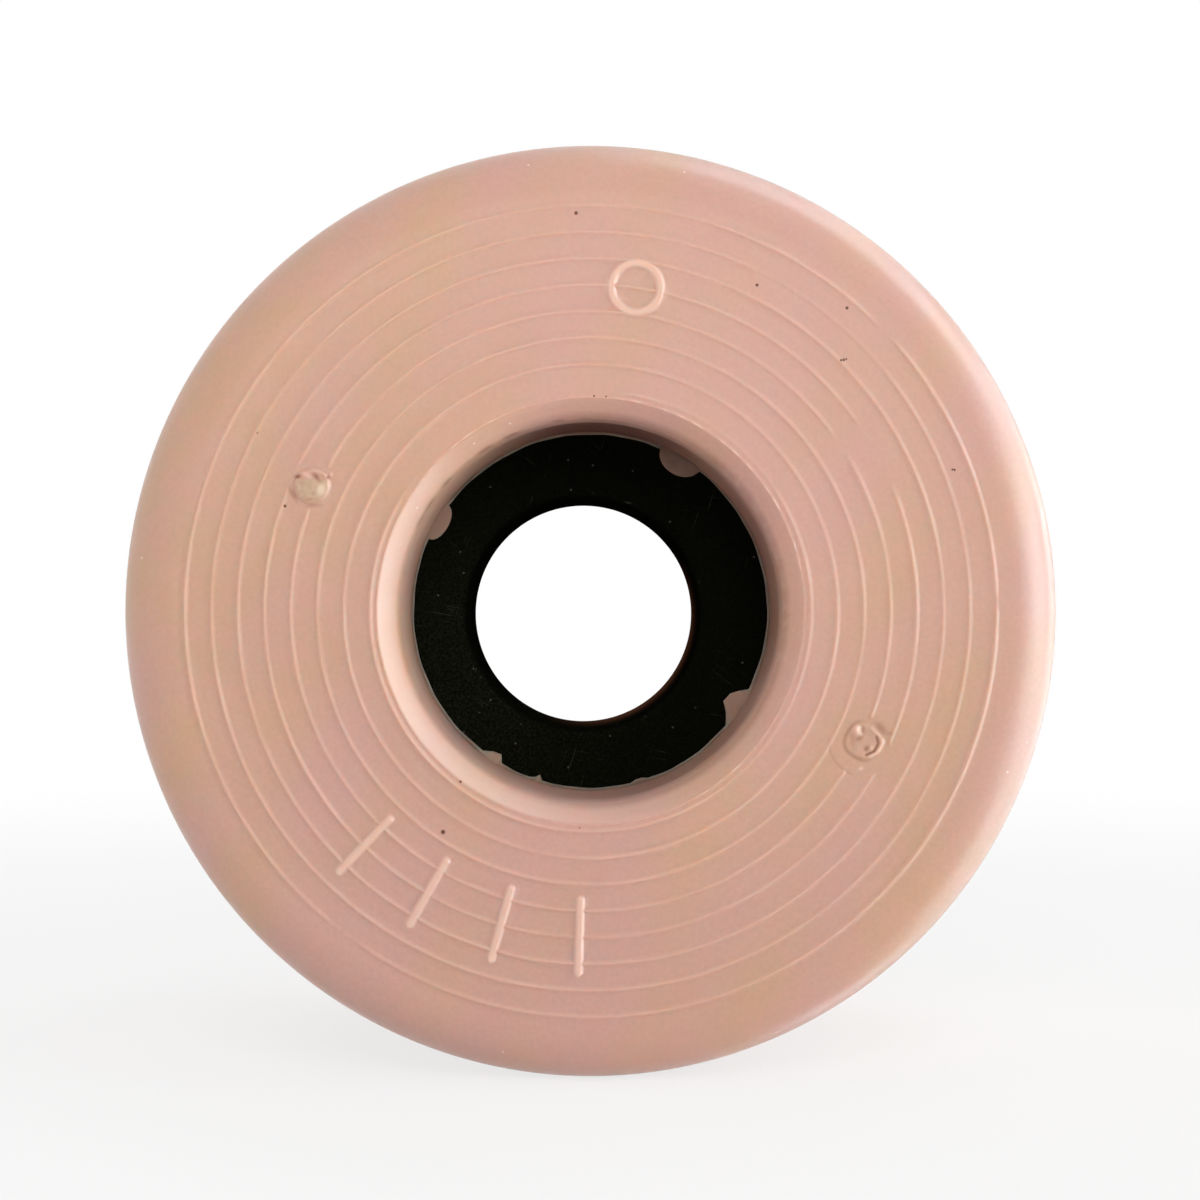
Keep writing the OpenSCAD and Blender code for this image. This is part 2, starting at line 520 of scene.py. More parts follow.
def front_relief(x, y):
    """Height of the front face above its plane, how pale each point shows, with a painted light at the top,
    how torn, its painted shade, and its ring.
    """
    rng = np.random.default_rng(SEED)
    ring_share = rings(x, y, rng, ring_strength) * stub_clear(x, y)
    lip_share = ragged_lip(x, y, rng)
    mark_share = marks(x, y)
    left_height, torn, left_pale, left_pit_shade = left_stub(x, y)
    right_height, right_pale, right_pit_shade = right_stub(x, y)
    height = RING_H * ring_share + LIP_H * lip_share + left_height + right_height
    height = np.maximum(height, MARK_H * mark_share)
    height += UNEVEN_H * swell(x, y, UNEVEN_LENGTHS, rng)
    pale = np.maximum.reduce([
        RING_PALE * ring_share, LIP_PALE * lip_share, MARK_PALE * mark_share, left_pale, right_pale
    ])
    # Painted light that makes the top of the face lighter
    top_light = TOP_LIGHT * soft_step(*TOP_LIGHT_START, y)
    return height, np.maximum(pale, top_light), torn, np.maximum(left_pit_shade, right_pit_shade), ring_share


def plain_strength(ring, angle, rng):
    """How strongly a ring of the back face stands out round the wheel, 0 to 1."""
    return np.clip(uneven(angle, BACK_WANDER, rng), 0, 1)


def back_relief(x, y):
    """Height of the back face above its plane, and how pale each point shows."""
    rng = np.random.default_rng(SEED + 1)
    ring_share = rings(x, y, rng, plain_strength)
    height = RING_H * ring_share + UNEVEN_H * swell(x, y, UNEVEN_LENGTHS, rng)
    return height, RING_PALE * ring_share


# Tyre

TYRE_COLUMNS = 360
# Section points across each ring, in ring widths, and parts of the gap before it
FINE_OFFSETS = (-2.1, -1.2, -0.6, 0, 0.6, 1.2, 2.1)
FINE_GAP_PARTS = 3
COARSE_OFFSETS = (-1.6, -0.5, 0.5, 1.6)
COARSE_GAP_PARTS = 2
# Corners of the wall's foot, the step and the mouth's edge: outwards, to the front
FOOT_CORNERS = ((-0.02, 2 * BOND_GAP), (0.06, 0.25))
STEP_CORNERS = ((0.08, -0.1), (0.01, 0), (0, 0.15))
EDGE_CORNERS = ((-0.08, -0.085), (-0.025, -0.035), (0.03, 0))
# Ends of the straight wall, above the core and below the step
FOOT_H = 0.7
STEP_H = 0.3
# Points of the lip's curve, in shares of its roundness below the chamfer
LIP_DROPS = (4.5, 3.2, 2.3, 1.6, 1, 0.5)
# Points of the chamfer, and how far below the face they end
CHAMFER_POINTS = 4
CHAMFER_MARGIN = 0.1
# Margins at the two ends of the flat face
MOUTH_MARGIN = 0.06
FLAT_MARGIN = 0.01
# Distance from a face's plane within which a corner lies in it
IN_PLANE = 0.001
SHOULDER_PARTS = 14
TREAD_PARTS = 7

REFINE_CUTS = 4
# Distances from the marks' lines and the stubs' middles within which faces are refined
FINE_BAR = 0.45
FINE_INDEX_RING = 0.5
FINE_LEFT = 1.7
FINE_RIGHT = 2.4

# Radii of the seats' matt finish, of the mouth and of the chamfer's painted highlight
MATT_END = (seat_r + 0.15, seat_r + 0.5)
MOUTH_END = (mouth_r - 0.1, mouth_r)
HIGHLIGHT_START = (seat_r - 0.02, seat_r + 0.2)
# Radii of the faces' relief and of the lines turned in the tread
RELIEF_END = (flat_r - 0.4, flat_r)
TREAD_START = (wheel_r - 0.6, wheel_r - 0.1)
# Height of the ground tread at the front shoulder
GROUND_END = (tread_half - 0.5, tread_half + 1)

# Darker colour at the foot of the seats' walls
FOOT_DARK = 0.2
FOOT_DARK_END = (floor_z + 0.2, floor_z + 1.5)
# Painted shade on the wall of the front seat, darkest at the top: middle angle, half width, softness of the
# ends, share
WALL_SHADE = ((86, 34, 28, 0.9), (15, 40, 25, 0.3), (298, 32, 20, 0.35))
# Heights up that wall, and the share of that painted shade at each
WALL_HEIGHTS = (step_z - 0.2, step_z + 0.15, lip_z - 0.4, lip_z)
WALL_SHARES = (1, 0.45, 0.35, 0)
# Painted shade on the lip above the wall, on its right side
LIP_SHADE = 0.28
LIP_SHADE_START = (lip_z - 0.3, lip_z + 0.1)
# Broken streak along the lip
STREAK = 0.55
STREAK_BREAKS = (0.45, 1, (13, 29, 47))
STREAK_DEPTH = 0.2
STREAK_W = 0.3
# Pale flecks of the torn lip
FLECK_BREAKS = (0, 1, (31, 47, 73, 97))
FLECK_OUT = 0.12
FLECK_W = 0.1
FLECK_DEPTH = 0.6

# Angle at which the urethane is most tan
TAN_ANGLE = 155
# Share of lilac in the urethane, and what changes it
LILAC_MEAN = 0.55
LILAC_SWIRLS = 0.4
LILAC_LEAN = 0.15
LILAC_PATCHES = 0.4
LILAC_LENGTHS = (6, 9, 13)


def half_section(ring_offsets, gap_parts):
    """Section of the tyre's front half, from the foot of the seat's wall to the edge of the tread."""
    wall_r = seat_r + STEP_UNDERCUT
    foot = shifted(seat_r, floor_z, FOOT_CORNERS)
    wall = [(wall_r, z) for z in (floor_z + FOOT_H, (floor_z + step_z) / 2, step_z - STEP_H)]
    step = shifted(seat_r, step_z, STEP_CORNERS)
    lip = [(seat_r + LIP_ROUND * math.exp(-drop), lip_z + LIP_ROUND * (1 - drop)) for drop in LIP_DROPS]
    rises = np.linspace(LIP_ROUND, MOUTH_CHAMFER - CHAMFER_MARGIN, CHAMFER_POINTS)
    chamfer = [(seat_r + rise, lip_z + rise) for rise in rises]
    edge = shifted(mouth_r, face_z, EDGE_CORNERS)
    radii = [mouth_r + MOUTH_MARGIN]
    for ring_r in ring_radii:
        near = [ring_r + offset * RING_W for offset in ring_offsets]
        radii += list(np.linspace(radii[-1], near[0], gap_parts + 1)[1:-1]) + near
    face = [(radius, face_z) for radius in radii]
    turn = np.radians(np.linspace(90, 0, SHOULDER_PARTS + 1))
    reach = SHOULDER_R * np.cos(turn) ** SHOULDER_POWER
    fall = SHOULDER_R * (1 - np.sin(turn) ** SHOULDER_POWER)
    shoulder = list(zip(flat_r + reach, face_z - fall))
    return foot + wall + step + lip + chamfer + edge + face + shoulder


def tyre_section():
    """The whole closed section of the tyre, which runs back along the core that it is bonded to."""
    front = half_section(FINE_OFFSETS, FINE_GAP_PARTS)
    back = [(radius, -z) for radius, z in reversed(half_section(COARSE_OFFSETS, COARSE_GAP_PARTS))]
    tread = [(wheel_r, z) for z in np.linspace(tread_half, -tread_half, TREAD_PARTS + 1)[1:-1]]
    bond_r = core_r + BOND_GAP
    bond_z = floor_z + BOND_GAP
    groove = arc(bond_r, 0, GROOVE_R, 270, 90)
    bond = [(bond_r, -bond_z), *groove, (bond_r, bond_z)]
    return front + tread + back + [(radius, z, 1) for radius, z in bond]


def refined(x, y, z, faces):
    """The same surface with finer faces where the stubs and index marks of the front face are."""
    shell = bmesh.new()
    for corner in zip(x, y, z):
        shell.verts.new(corner)
    shell.verts.ensure_lookup_table()
    shell.verts.index_update()
    for face in faces:
        shell.faces.new([shell.verts[int(corner)] for corner in face])
    busy = np.minimum.reduce([bar_distance(x, y, angle) for angle in BAR_ANGLES]) < FINE_BAR
    busy |= index_ring_distance(x, y) < FINE_INDEX_RING
    busy |= around(x, y, LEFT_STUB)[2] < FINE_LEFT
    busy |= around(x, y, RIGHT_STUB)[2] < FINE_RIGHT
    busy &= (z > face_z - IN_PLANE) & (np.hypot(x, y) > mouth_r)
    edges = [edge for edge in shell.edges if all(busy[corner.index] for corner in edge.verts)]
    bmesh.ops.subdivide_edges(shell, edges=edges, cuts=REFINE_CUTS, use_grid_fill=True)
    shell.verts.index_update()
    corners = np.array([corner.co for corner in shell.verts])
    new_faces = [[corner.index for corner in face.verts] for face in shell.faces]
    shell.free()
    return *corners.T, new_faces


def seat_shade_and_grime(angle, z):
    """How much painted shade the front seat's wall and lip have, with a darker foot in both seats and a
    broken streak of grime along the front lip.
    """
    depth = np.abs(z)
    foot = FOOT_DARK * (1 - soft_step(*FOOT_DARK_END, depth))
    # Painted shade on the front wall, darkest at the top
    smears = [share * stretch(angle, *part) for *part, share in WALL_SHADE]
    wall = np.maximum.reduce(smears) * np.interp(depth, WALL_HEIGHTS, WALL_SHARES)
    # Painted shade on the right of the front lip
    right = stretch(angle, middle=5, half=105, soft=30)
    lip = LIP_SHADE * right * soft_step(*LIP_SHADE_START, depth)
    broken = np.clip(uneven(angle, STREAK_BREAKS, np.random.default_rng(SEED + 5)), 0, 1)
    top_left = stretch(angle, middle=122, half=34, soft=12)
    streak = STREAK * top_left * bell(depth - lip_z + STREAK_DEPTH, STREAK_W) * broken
    return np.maximum(foot, np.maximum.reduce([wall, lip, streak]) * (z > 0))


def seat_finish(x, y, z):
    """How matt the urethane is inside the seats, whether it is in the mouth, and how much painted shade and
    grime it has.
    """
    radius = np.hypot(x, y)
    matt = 1 - soft_step(*MATT_END, radius)
    mouth = 1 - soft_step(*MOUTH_END, radius)
    return matt, mouth, matt * seat_shade_and_grime(angle_of(x, y), z)


def lip_flecks(x, y, z):
    """How pale the torn inner lip of the front seat shows, on its right side."""
    angle = angle_of(x, y)
    broken = np.clip(uneven(angle, FLECK_BREAKS, np.random.default_rng(SEED + 4)), 0, 1)
    line = bell(np.hypot(x, y) - seat_r - FLECK_OUT, FLECK_W) * (z > lip_z - FLECK_DEPTH)
    return LIP_PALE * line * broken * stretch(angle, middle=18, half=32, soft=10)


def mouth_highlight(x, y, z):
    """How pale the front seat's chamfer shows on the left and below, a painted highlight where it faces the
    lamps.
    """
    radius = np.hypot(x, y)
    chamfer = soft_step(*HIGHLIGHT_START, radius) * (1 - soft_step(*MOUTH_END, radius))
    return MOUTH_HIGHLIGHT * chamfer * stretch(angle_of(x, y), middle=205, half=85, soft=50) * (z > 0)


def lilac_share(x, y):
    """How far the urethane turns from tan to lilac, in two broad swirls."""
    turn = np.radians(angle_of(x, y) - TAN_ANGLE)
    swirl = LILAC_MEAN - LILAC_SWIRLS * np.cos(2 * turn) - LILAC_LEAN * np.cos(turn)
    patches = LILAC_PATCHES * swell(x, y, LILAC_LENGTHS, np.random.default_rng(SEED + 3))
    return np.clip(swirl + patches, 0, 1)


def make_tyre(material):
    """The cast tyre: ringed faces, torn stubs, chamfered seats, shoulders and tread, as one closed skin."""
    x, y, z, faces = refined(*revolve(tyre_section(), TYRE_COLUMNS, (core_x, core_y)))
    radius = np.hypot(x, y)
    on_flat = (radius > mouth_r) & (radius < flat_r + FLAT_MARGIN)
    front = on_flat & (z > face_z - IN_PLANE)
    back = on_flat & (z < IN_PLANE - face_z)
    pale, torn, sunk = np.zeros((3, len(x)))
    height, pale[front], torn[front], sunk[front], ridge = front_relief(x[front], y[front])
    settle = 1 - soft_step(*RELIEF_END, radius)
    z[front] += height * settle[front]
    height, pale[back] = back_relief(x[back], y[back])
    z[back] -= height * settle[back]
    tread = soft_step(*TREAD_START, radius)
    matt, mouth, grime = seat_finish(x, y, z)
    ground = 1 - soft_step(*GROUND_END, z)
    matt = np.maximum(matt, TREAD_MATT * ground * (radius > mouth_r))
    matt[front] = RING_MATT * ridge
    pale = np.maximum.reduce([pale, lip_flecks(x, y, z), mouth_highlight(x, y, z)])
    shares = dict(pale=pale, torn=torn, sunk=sunk, tread=tread, matt=matt, mouth=mouth, grime=grime)
    shares["lilac"] = lilac_share(x, y)
    tyre = add_piece("cast_tyre", placed(x, y, z), faces, material, "tyre_urethane", **shares)
    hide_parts("tyre")


# Film and flash on the core's ends

FILM_COLUMNS = 1440
# Reach of the film from the seat's wall: mean, wander, waves per turn
FILM_REACH = (FILM_W, 0.03, (3, 7, 13, 29))
# How far the film runs on under the tyre
FILM_UNDER = 0.15
# Reach past the film's own at which a tab starts to rise
TAB_START = (0.1, 0.8)
# Rows of the film's section: share of the way out, offset outwards, share of the height, how light
FILM_ROWS = (
    (0, 0.03, 0, 0.6), (0, 0, 0.45, 1), (0, 0.035, 0.9, 1), (0, 0.09, 1, 0.3),
    (0.35, 0.09, 1, 0), (0.7, 0.05, 1, 0), (1, 0, 1, 0), (1, 0, 0, 0),
)
# Share of the pale edge at the right and the top, where it is painted darker as shade
LIGHT_REST = 0.3


def flash_reach(angle, tabs, flash, rng):
    """How far the film of urethane reaches inwards from the seat's wall, round the wheel."""
    reach = uneven(angle, FILM_REACH, rng)
    for middle, half, depth in tabs:
        share = turn_between(angle, middle) / half
        reach = np.maximum(reach, depth * np.sqrt(np.clip(1 - share ** 2, 0, 1)) + FILM_W * (share < 1))
    for corners in flash:
        turns, depths = np.array(corners).T
        beside = (angle - turns[0]) % 360
        reach += np.interp(beside, turns - turns[0], depths, right=0)
    return reach


def make_film(name, side, tabs, flash, thick, material):
    """The thin film that the casting left on one end of the core, with the ends of the anchors."""
    angle = np.arange(FILM_COLUMNS) * 360 / FILM_COLUMNS
    reach = flash_reach(angle, tabs, flash, np.random.default_rng(SEED + 2))
    inner_r = seat_r - reach
    outer_r = seat_r + STEP_UNDERCUT + FILM_UNDER
    height = FILM_H + TAB_H * soft_step(*TAB_START, reach - FILM_W)
    bottom_z = floor_z + BOND_GAP / 2
    # The pale edge is painted darker at the right and the top, as shade
    lit = LIGHT_REST + (1 - LIGHT_REST) * stretch(angle, middle=232, half=105, soft=30)
    covers = [share * stretch(angle, middle, half, soft=1) for middle, half, share in thick]
    share, offset, rise, light = np.array(FILM_ROWS).T[:, :, None]
    radius = inner_r + share * (outer_r - inner_r) + offset * (1 - share)
    x = radius * np.cos(np.radians(angle))
    y = radius * np.sin(np.radians(angle))
    z = side * (bottom_z + rise * height)
    corners = placed(x.ravel(), y.ravel(), z.ravel())
    faces = turned_faces(len(FILM_ROWS), FILM_COLUMNS)
    edge = (light * lit).ravel()
    hidden = np.tile(np.maximum.reduce(covers), len(FILM_ROWS))
    add_piece(name, corners, faces, material, "tyre_urethane", edge=edge, thick=hidden)


# Core

CORE_COLUMNS = 256
BORE_ROUND = 0.35
RIM_ROUND = 0.3
RIM_ROUND_PARTS = 3
END_MARGIN = 1
END_POINTS = 8
BORE_PARTS = 5
# Width of the edge that counts to the bore's wall
BORE_MARGIN = 0.05
# Height of the brown painted light on the bore's wall, which stands for light reflected onto its far end
BORE_LIGHT_END = (-floor_z, 0.5 * floor_z)
# Share of the paler grain at the right and the top of the ends; it rises to full at the lower left as a
# painted light
UNLIT_WEAR = 0.3


def make_core(material):
    """The moulded core: a plain thick ring with rounded edges and the rim groove that the tyre fills."""
    bore_edge = arc(bore_r + BORE_ROUND, floor_z - BORE_ROUND, BORE_ROUND, 180, 90)
    end = [(radius, floor_z) for radius in np.linspace(bore_r + END_MARGIN, core_r - END_MARGIN, END_POINTS)]
    rim = arc(core_r - RIM_ROUND, floor_z - RIM_ROUND, RIM_ROUND, 90, 0, RIM_ROUND_PARTS)
    front = bore_edge + end + rim
    groove = arc(core_r, 0, GROOVE_R, 90, 270)
    back = [(radius, -z) for radius, z in reversed(front)]
    heights = np.linspace(BORE_ROUND - floor_z, floor_z - BORE_ROUND, BORE_PARTS + 1)
    wall = [(bore_r, z) for z in heights[1:-1]]
    x, y, z, faces = revolve(front + groove + back + wall, CORE_COLUMNS)
    angle = angle_of(x, y)
    in_bore = np.hypot(x, y) < bore_r + BORE_MARGIN
    # Painted light on the far end of the bore's wall, at the lower right
    stain = in_bore * stretch(angle, middle=322, half=50, soft=30) * (1 - soft_step(*BORE_LIGHT_END, z))
    worn = UNLIT_WEAR + (1 - UNLIT_WEAR) * stretch(angle, middle=212, half=65, soft=60)
    corners = placed(x + core_x, y + core_y, z)
    core = add_piece("moulded_core", corners, faces, material, "core_plastic", stain=stain, worn=worn)
    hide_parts("core")


# Materials

def empty_tree(holder):
    """The emptied node tree of a material or a world."""
    holder.use_nodes = True
    holder.node_tree.nodes.clear()
    return holder.node_tree


def new_material(name):
    """An empty node material, its node tree and its shader, which already feeds the surface."""
    material = bpy.data.materials.new(name)
    tree = empty_tree(material)
    shader = tree.nodes.new("ShaderNodeBsdfPrincipled")
    output = tree.nodes.new("ShaderNodeOutputMaterial")
    tree.links.new(shader.outputs["BSDF"], output.inputs["Surface"])
    return material, tree, shader


def add(tree, kind, inputs=(), **settings):
    """Adds a node with its settings. An input takes a value, or a link from another node's socket."""
    made = tree.nodes.new(kind)
    for name, value in settings.items():
        setattr(made, name, value)
    for name, value in dict(inputs).items():
        if isinstance(value, bpy.types.NodeSocket):
            tree.links.new(value, made.inputs[name])
        else:
            made.inputs[name].default_value = value
    return made


def compute(tree, operation, *values):
    """Socket of a Math node."""
    return add(tree, "ShaderNodeMath", enumerate(values), operation=operation).outputs[0]


def ramped(tree, value, low, high):
    """Socket that is 0 below low and 1 above high, rising smoothly between. low may be above high."""
    inputs = {"Value": value, "From Min": low, "From Max": high}
    return add(tree, "ShaderNodeMapRange", inputs, interpolation_type="SMOOTHSTEP").outputs[0]


def rescaled(tree, value, old, new):
    """Socket of a value moved from an old range to a new one."""
    inputs = {"Value": value, "From Min": old[0], "From Max": old[1], "To Min": new[0], "To Max": new[1]}
    return add(tree, "ShaderNodeMapRange", inputs).outputs[0]


# Sockets of a Mix node: share, colour under and colour over, and the result
MIX_INPUTS = (0, 6, 7)
MIX_RESULT = 2


def blended(tree, share, under, over, blend="MIX"):
    """Socket of a colour mixed over another by a share."""
    made = tree.nodes.new("ShaderNodeMix")
    made.data_type = "RGBA"
    made.blend_type = blend
    for index, value in zip(MIX_INPUTS, (share, under, over)):
        if isinstance(value, bpy.types.NodeSocket):
            tree.links.new(value, made.inputs[index])
        else:
            made.inputs[index].default_value = value if isinstance(value, float) else (*value, 1)
    return made.outputs[MIX_RESULT]


def bumped(tree, height, strength, distance):
    """Socket of a surface that a height makes uneven by up to that many millimetres."""
    inputs = {"Height": height, "Strength": strength, "Distance": distance * MM}
    return add(tree, "ShaderNodeBump", inputs).outputs[0]


def feed(tree, shader, sockets):
    """Links sockets to the shader's inputs of those names."""
    for name, socket in sockets.items():
        tree.links.new(socket, shader.inputs[name])


def object_point(tree):
    """Socket of the point's place in the row frame, in metres."""
    return add(tree, "ShaderNodeTexCoord").outputs["Object"]


def noise(tree, point, size, detail=3.0, roughness=0.5):
    """Socket of a noise whose patches are about that many millimetres across."""
    inputs = {"Vector": point, "Scale": 1 / (size * MM), "Detail": detail, "Roughness": roughness}
    return add(tree, "ShaderNodeTexNoise", inputs).outputs[0]


def share_of(tree, name):
    """Socket of a named value that the mesh holds per corner."""
    return add(tree, "ShaderNodeAttribute", attribute_name=name).outputs["Fac"]


# Shares of the radius of a dot and of a speck within which it is solid
DOT_SOLID = 0.4
SPECK_SOLID = 0.45


def dots(tree, point, spacing, radius, kept):
    """Socket that is 1 in scattered dots of about that spacing and radius, a share of which is kept."""
    inputs = {"Vector": point, "Scale": 1 / (spacing * MM)}
    cells = add(tree, "ShaderNodeTexVoronoi", inputs)
    near = ramped(tree, cells.outputs["Distance"], radius / spacing, DOT_SOLID * radius / spacing)
    drawn = compute(tree, "LESS_THAN", cells.outputs["Color"], kept)
    return compute(tree, "MULTIPLY", near, drawn)


def specks_at(tree, point, places):
    """Socket that is 1 on the given small spots of the front face."""
    total = 0.0
    for x, y, radius in places:
        middle = Vector((x, -face_z, y)) * MM
        inputs = {0: point, 1: middle}
        away = add(tree, "ShaderNodeVectorMath", inputs, operation="DISTANCE").outputs["Value"]
        total = compute(tree, "MAXIMUM", ramped(tree, away, radius * MM, SPECK_SOLID * radius * MM), total)
    return total


PINK = (0.612, 0.359, 0.25)
TAN = (0.587, 0.36, 0.228)
LILAC = (0.605, 0.352, 0.286)
PALE_PINK = (0.8, 0.56, 0.45)
DARK_CREAM = (0.47, 0.3, 0.195)
CREAM = (0.56, 0.375, 0.245)
LIGHT_CREAM = (0.72, 0.55, 0.39)
# Painted shade of the stubs' pits, grooves and seams, and of the shadows beside their lumps
PIT_SHADE_RED = (0.28, 0.105, 0.062)
# Colour of the seats' painted shade and of their grime
SHADE_AND_GRIME_RED = (0.1, 0.03, 0.018)
DIRT_BROWN = (0.07, 0.014, 0.007)
DUST = (0.85, 0.75, 0.68)
FILM_GREY = (0.28, 0.18, 0.135)
FILM_PINK = (0.5, 0.33, 0.25)
FILM_EDGE = (0.33, 0.27, 0.225)
CORE_BLACK = (0.0022, 0.0024, 0.0014)
# Paler grain of the core, which is also painted light at the lower left of its ends
CORE_WORN_AND_LIT = (0.01, 0.0125, 0.007)
CORE_SCRATCH = (0.026, 0.029, 0.02)
# Painted brown light on the bore's wall
BORE_LIGHT_BROWN = (0.12, 0.05, 0.028)

# Share of the light that comes out beside where it went in, and that share in pits
SOFTNESS = 0.9
PIT_SOFTNESS = 0.05
# How far light goes in on the faces, and in the sharper mouths of the seats
SOFT_DEPTH = 0.7
MOUTH_DEPTH = 0.25
# How far red, green and blue go, as shares of that depth
SOFT_REACH = (1.0, 0.55, 0.4)
URETHANE_IOR = 1.55
SHINE = 0.75
FILM_SHINE = 0.25
# Roughness that a fully matt part adds
MATT_ROUGHNESS = 0.4
# Shares over the colour below
DUST_SHARE = 0.7
DIRT_SHARE = 0.85
FILM_EDGE_SHARE = 0.6
CORE_DUST_SHARE = 0.06
# Shade of the film's dark patches, and depth of the tread's lines
FILM_SHADE = 0.85
TURNED_DEPTH = 1.5
WHOLE = (0.0, 1.0)


def set_urethane(shader, roughness):
    """Sets what every point of the urethane has alike: a faint depth of colour and a satin shine."""
    shader.inputs["Subsurface Weight"].default_value = SOFTNESS
    shader.inputs["Subsurface Radius"].default_value = SOFT_REACH
    shader.inputs["Subsurface Scale"].default_value = SOFT_DEPTH * MM
    shader.inputs["IOR"].default_value = URETHANE_IOR
    shader.inputs["Specular IOR Level"].default_value = SHINE
    shader.inputs["Roughness"].default_value = roughness


def urethane_colour(tree, point, mottle, grain, torn, sunk, dirt):
    """Socket of the urethane's colour: its mottling, its pale and torn parts, painted shade in pits and
    seats, painted light on the seat's chamfer and the face's top, and what lies on it.
    """
    colour = blended(tree, ramped(tree, mottle, 0.36, 0.64), PINK, TAN)
    colour = blended(tree, share_of(tree, "lilac"), colour, LILAC)
    shade = rescaled(tree, grain, (0.25, 0.75), (0.96, 1.04))
    tone = add(tree, "ShaderNodeCombineColor", dict.fromkeys(("Red", "Green", "Blue"), shade))
    colour = blended(tree, 1.0, colour, tone.outputs[0], "MULTIPLY")
    colour = blended(tree, share_of(tree, "pale"), colour, PALE_PINK)
    scuffed = ramped(tree, noise(tree, point, size=0.35), 0.3, 0.7)
    cream = blended(tree, scuffed, CREAM, DARK_CREAM)
    colour = blended(tree, ramped(tree, torn, 0.0, 0.5), colour, cream)
    colour = blended(tree, ramped(tree, torn, 0.6, 1.0), colour, LIGHT_CREAM)
    colour = blended(tree, sunk, colour, PIT_SHADE_RED)
    colour = blended(tree, share_of(tree, "grime"), colour, SHADE_AND_GRIME_RED)
    dust = dots(tree, point, spacing=1.3, radius=0.1, kept=0.3)
    colour = blended(tree, compute(tree, "MULTIPLY", dust, DUST_SHARE), colour, DUST)
    return blended(tree, compute(tree, "MULTIPLY", dirt, DIRT_SHARE), colour, DIRT_BROWN)


def urethane():
    """Dusty pink cast urethane with soft mottling, pale raised lines, specks and a satin skin."""
    material, tree, shader = new_material("cast_urethane")
    set_urethane(shader, roughness=0.4)
    point = object_point(tree)
    mottle = noise(tree, point, size=2.2, detail=4.0, roughness=0.55)
    grain = noise(tree, point, size=0.28, detail=2.0)
    torn = share_of(tree, "torn")
    sunk = share_of(tree, "sunk")
    dirt = specks_at(tree, point, DIRT)
    dry = compute(tree, "MAXIMUM", dirt, sunk)
    crisp = compute(tree, "MAXIMUM", dry, torn)
    sheen = rescaled(tree, mottle, (0.3, 0.7), (0.29, 0.37))
    dull = compute(tree, "MULTIPLY", share_of(tree, "matt"), MATT_ROUGHNESS)
    depths = (SOFT_DEPTH * MM, MOUTH_DEPTH * MM)
    across = add(tree, "ShaderNodeSeparateXYZ", {0: point}).outputs["Y"]
    turned = noise(tree, add(tree, "ShaderNodeCombineXYZ", {"X": across}).outputs[0], size=0.5)
    lines = compute(tree, "MULTIPLY", turned, share_of(tree, "tread"))
    lines = compute(tree, "MULTIPLY", lines, TURNED_DEPTH)
    skin = compute(tree, "ADD", lines, compute(tree, "ADD", grain, mottle))
    feed(tree, shader, {
        "Base Color": urethane_colour(tree, point, mottle, grain, torn, sunk, dirt),
        "Specular IOR Level": rescaled(tree, dry, WHOLE, (SHINE, 0.0)),
        "Subsurface Weight": rescaled(tree, crisp, WHOLE, (SOFTNESS, PIT_SOFTNESS)),
        "Subsurface Scale": rescaled(tree, share_of(tree, "mouth"), WHOLE, depths),
        "Roughness": compute(tree, "ADD", sheen, dull),
        "Normal": bumped(tree, skin, strength=0.25, distance=0.03),
    })
    return material


def film_urethane():
    """The thin film on the core: darker, because the black core shows through, with a pale edge."""
    material, tree, shader = new_material("urethane_film")
    set_urethane(shader, roughness=0.55)
    shader.inputs["Specular IOR Level"].default_value = FILM_SHINE
    mottle = noise(tree, object_point(tree), size=0.6)
    darker = tuple(FILM_SHADE * part for part in FILM_GREY)
    colour = blended(tree, ramped(tree, mottle, 0.3, 0.7), FILM_GREY, darker)
    colour = blended(tree, share_of(tree, "thick"), colour, FILM_PINK)
    edge = compute(tree, "MULTIPLY", share_of(tree, "edge"), FILM_EDGE_SHARE)
    colour = blended(tree, edge, colour, FILM_EDGE)
    feed(tree, shader, {"Base Color": colour, "Normal": bumped(tree, mottle, strength=0.3, distance=0.05)})
    return material


# Directions of the scratches on the core's ends, and how many times longer than wide they are
SCRATCH_LEANS = (-52, 18, 100)
SCRATCH_STRETCH = 25


